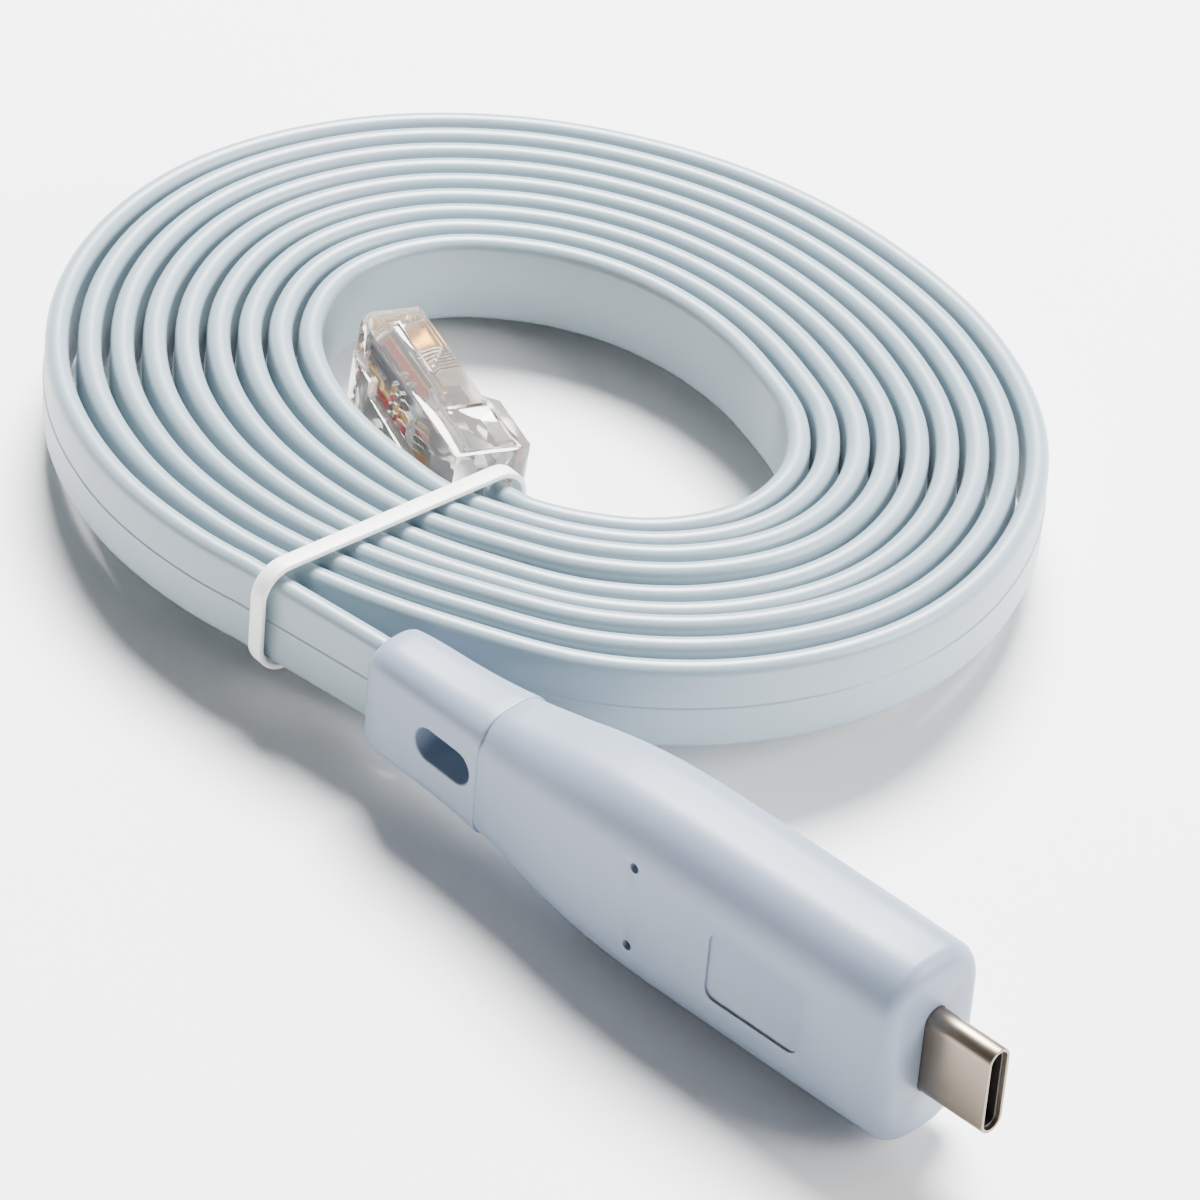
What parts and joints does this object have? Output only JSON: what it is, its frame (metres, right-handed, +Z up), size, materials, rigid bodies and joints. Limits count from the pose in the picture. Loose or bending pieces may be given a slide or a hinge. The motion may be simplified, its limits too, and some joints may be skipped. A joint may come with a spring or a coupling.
{
  "type": "console cable",
  "caption": "Flat console cable wound into a tied spiral coil, with a clear RJ45 plug inside the coil and an overmoulded USB-C adapter outside it.",
  "frame": {"origin": "on the floor under the middle of the bounding box", "axes": "+Z up, the adapter points towards +X and -Y, the coil lies towards +Y"},
  "size_m": [0.0842, 0.1212, 0.0189],
  "materials": {
    "jacket": "soft gloss extruded PVC",
    "overmould": "smooth moulded PVC, low gloss",
    "nickel_shell": "nickel plated",
    "insulator": "moulded, black",
    "clear_plastic": "clear moulded polycarbonate",
    "gold_contact": "gold plated",
    "tie": "smooth white strip",
    "core_slate": "extruded insulation",
    "core_orange": "extruded insulation",
    "core_green": "extruded insulation",
    "core_black": "extruded insulation",
    "core_red": "extruded insulation",
    "core_yellow": "extruded insulation",
    "core_brown": "extruded insulation",
    "core_grey": "extruded insulation"
  },
  "bodies": {
    "root": {"cable_coil": "jacket", "cable_tail": "jacket", "cable_lead": "jacket", "strain_relief_boot": "overmould", "adapter_housing": "overmould", "usb_c_shell": "nickel_shell", "usb_c_insulator": "insulator", "rj45_plug_body": "clear_plastic", "rj45_contact_1": "gold_contact", "rj45_contact_2": "gold_contact", "rj45_contact_3": "gold_contact", "rj45_contact_4": "gold_contact", "rj45_contact_5": "gold_contact", "rj45_contact_6": "gold_contact", "rj45_contact_7": "gold_contact", "rj45_contact_8": "gold_contact", "conductor_1": "core_slate", "conductor_2": "core_orange", "conductor_3": "core_green", "conductor_4": "core_black", "conductor_5": "core_red", "conductor_6": "core_yellow", "conductor_7": "core_brown", "conductor_8": "core_grey", "cable_tie": "tie"}
  },
  "joints": []
}
